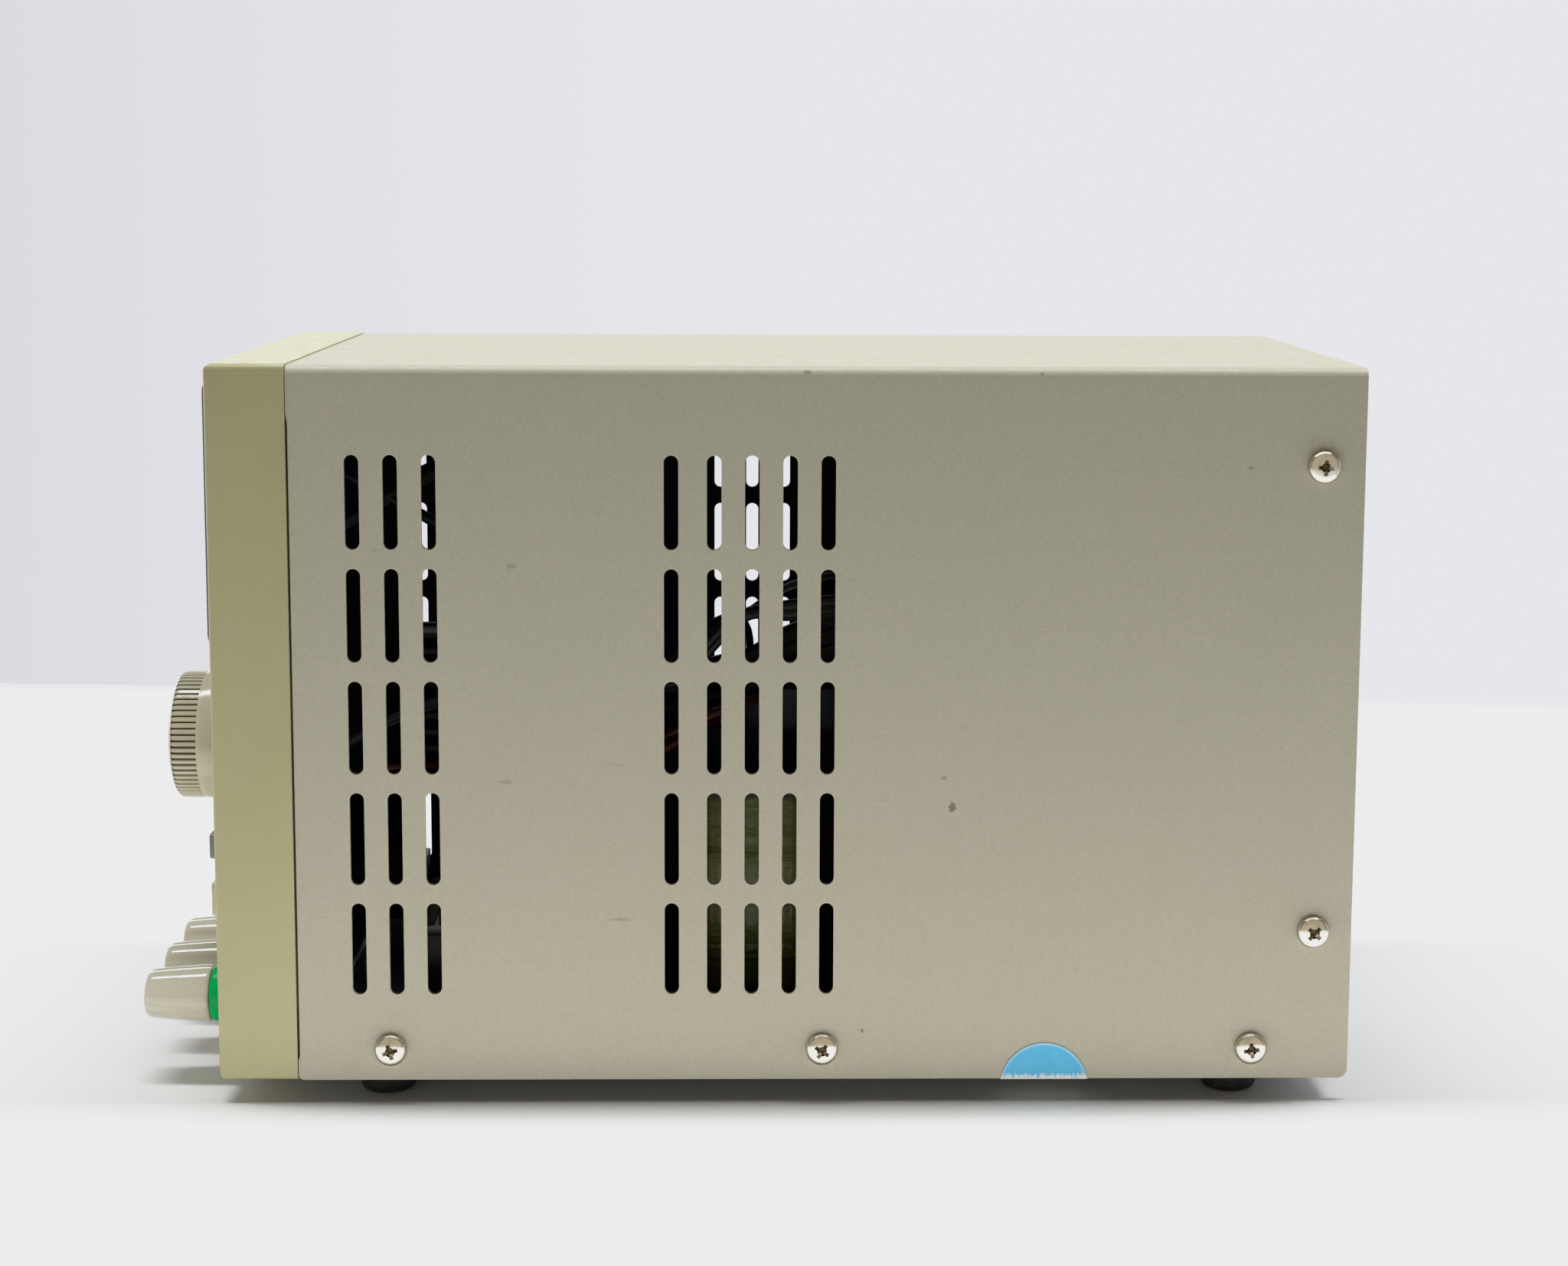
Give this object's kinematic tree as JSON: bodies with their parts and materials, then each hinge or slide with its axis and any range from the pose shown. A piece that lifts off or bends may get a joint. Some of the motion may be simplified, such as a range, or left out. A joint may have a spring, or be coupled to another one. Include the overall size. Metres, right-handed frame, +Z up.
{
  "type": "bench power supply",
  "caption": "Compact linear bench power supply in a slotted steel case with a moulded front, one large knob, keys, a display window and screw-down binding posts.",
  "frame": {"origin": "on the bench, under the middle of the object's bounding box", "axes": "+Z up, +X to the right of a person facing the front panel, +Y from the front panel to the rear panel"},
  "size_m": [0.1136, 0.2574, 0.1563],
  "materials": {
    "cover_paint": "fine-textured warm grey powder coat, semi-matt",
    "sheet_zinc": "bright zinc-plated sheet",
    "bezel_plastic": "yellowed ivory moulding, soft sheen",
    "window_smoke": "smoked clear acrylic, polished",
    "circuit_board": "green solder resist",
    "display_module": "dark grey display body",
    "encoder_metal": "die-cast, satin",
    "nickel": "bright nickel plate",
    "knob_plastic": "aged ivory moulding",
    "black_plastic": "satin black moulding",
    "red_plastic": "red moulding",
    "green_plastic": "green moulding",
    "brass": "turned",
    "foot_rubber": "black rubber",
    "seal_sticker": "light blue sticker, worn at its fold",
    "lamination": "black-varnished steel laminations",
    "coil_tape": "yellow polyester tape",
    "heatsink_metal": "extruded, dull",
    "can_sleeve": "dark blue shrink sleeve",
    "cable_black": "PVC insulated wires"
  },
  "bodies": {
    "root": {"top_cover": "cover_paint", "chassis_tray": "sheet_zinc", "rear_panel": "sheet_zinc", "front_bezel": "bezel_plastic", "display_window": "window_smoke", "front_board": "circuit_board", "main_board": "circuit_board", "voltage_display": "display_module", "current_display": "display_module", "encoder_body": "encoder_metal", "power_switch": "black_plastic", "fan_frame": "black_plastic", "mains_inlet": "black_plastic", "negative_collar": "black_plastic", "positive_collar": "red_plastic", "ground_collar": "green_plastic", "negative_stud": "brass", "positive_stud": "brass", "ground_stud": "brass", "cover_screw_right_1": "nickel", "cover_screw_right_2": "nickel", "cover_screw_right_3": "nickel", "cover_screw_right_4": "nickel", "cover_screw_right_5": "nickel", "cover_screw_left_1": "nickel", "cover_screw_left_2": "nickel", "cover_screw_left_3": "nickel", "cover_screw_left_4": "nickel", "cover_screw_left_5": "nickel", "front_left_foot": "foot_rubber", "front_right_foot": "foot_rubber", "rear_left_foot": "foot_rubber", "rear_right_foot": "foot_rubber", "warranty_seal": "seal_sticker", "transformer_core": "lamination", "transformer_coil": "coil_tape", "heatsink": "heatsink_metal", "filter_capacitor_1": "can_sleeve", "filter_capacitor_2": "can_sleeve", "dc_harness": "cable_black", "ac_harness": "cable_black"},
    "knob": {"main_knob": "knob_plastic", "encoder_shaft": "nickel"},
    "step_left_key": {"step_left_key": "knob_plastic"},
    "step_right_key": {"step_right_key": "knob_plastic"},
    "memory_key_1": {"memory_key_1": "knob_plastic"},
    "memory_key_2": {"memory_key_2": "knob_plastic"},
    "memory_key_3": {"memory_key_3": "knob_plastic"},
    "memory_key_4": {"memory_key_4": "knob_plastic"},
    "protect_key": {"protect_key": "knob_plastic"},
    "select_key": {"select_key": "knob_plastic"},
    "output_key": {"output_key": "knob_plastic"},
    "power_button": {"power_button": "knob_plastic"},
    "fan_rotor": {"fan_rotor": "black_plastic"},
    "negative_washer": {"negative_washer": "nickel"},
    "negative_cap": {"negative_cap": "knob_plastic"},
    "positive_washer": {"positive_washer": "nickel"},
    "positive_cap": {"positive_cap": "knob_plastic"},
    "ground_washer": {"ground_washer": "nickel"},
    "ground_cap": {"ground_cap": "knob_plastic"}
  },
  "joints": [
    {"name": "knob_turn", "type": "hinge", "parent": "root", "child": "knob", "pos_m": [0.022, -0.11025, 0.0722], "axis": [0, -1, 0], "continuous": true},
    {"name": "step_left_key_press", "type": "slide", "parent": "root", "child": "step_left_key", "axis": [0, 1, 0], "range_m": [0, 0.0005], "stiffness_N_per_m": 200},
    {"name": "step_right_key_press", "type": "slide", "parent": "root", "child": "step_right_key", "axis": [0, 1, 0], "range_m": [0, 0.0005], "stiffness_N_per_m": 200},
    {"name": "memory_key_1_press", "type": "slide", "parent": "root", "child": "memory_key_1", "axis": [0, 1, 0], "range_m": [0, 0.0005], "stiffness_N_per_m": 200},
    {"name": "memory_key_2_press", "type": "slide", "parent": "root", "child": "memory_key_2", "axis": [0, 1, 0], "range_m": [0, 0.0005], "stiffness_N_per_m": 200},
    {"name": "memory_key_3_press", "type": "slide", "parent": "root", "child": "memory_key_3", "axis": [0, 1, 0], "range_m": [0, 0.0005], "stiffness_N_per_m": 200},
    {"name": "memory_key_4_press", "type": "slide", "parent": "root", "child": "memory_key_4", "axis": [0, 1, 0], "range_m": [0, 0.0005], "stiffness_N_per_m": 200},
    {"name": "protect_key_press", "type": "slide", "parent": "root", "child": "protect_key", "axis": [0, 1, 0], "range_m": [0, 0.0005], "stiffness_N_per_m": 200},
    {"name": "select_key_press", "type": "slide", "parent": "root", "child": "select_key", "axis": [0, 1, 0], "range_m": [0, 0.0005], "stiffness_N_per_m": 200},
    {"name": "output_key_press", "type": "slide", "parent": "root", "child": "output_key", "axis": [0, 1, 0], "range_m": [0, 0.0005], "stiffness_N_per_m": 200},
    {"name": "power_button_press", "type": "slide", "parent": "root", "child": "power_button", "axis": [0, 1, 0], "range_m": [0, 0.003], "stiffness_N_per_m": 200},
    {"name": "fan_spin", "type": "hinge", "parent": "root", "child": "fan_rotor", "pos_m": [-0.017, 0.115, 0.1098], "axis": [0, 1, 0], "continuous": true},
    {"name": "negative_post_rise", "type": "slide", "parent": "root", "child": "negative_washer", "axis": [0, -1, 0], "range_m": [0, 0.004]},
    {"name": "negative_post_turn", "type": "hinge", "parent": "negative_washer", "child": "negative_cap", "pos_m": [0, -0.11025, 0.0184], "axis": [0, -1, 0], "range_deg": [0, 1440]},
    {"name": "positive_post_rise", "type": "slide", "parent": "root", "child": "positive_washer", "axis": [0, -1, 0], "range_m": [0, 0.004]},
    {"name": "positive_post_turn", "type": "hinge", "parent": "positive_washer", "child": "positive_cap", "pos_m": [0.019, -0.11025, 0.0184], "axis": [0, -1, 0], "range_deg": [0, 1440]},
    {"name": "ground_post_rise", "type": "slide", "parent": "root", "child": "ground_washer", "axis": [0, -1, 0], "range_m": [0, 0.004]},
    {"name": "ground_post_turn", "type": "hinge", "parent": "ground_washer", "child": "ground_cap", "pos_m": [0.038, -0.11025, 0.0184], "axis": [0, -1, 0], "range_deg": [0, 1440]}
  ],
  "couplings": [
    {"joint": "negative_post_turn", "follows": "negative_post_rise", "rad_per_m": 6283.2},
    {"joint": "positive_post_turn", "follows": "positive_post_rise", "rad_per_m": 6283.2},
    {"joint": "ground_post_turn", "follows": "ground_post_rise", "rad_per_m": 6283.2}
  ]
}
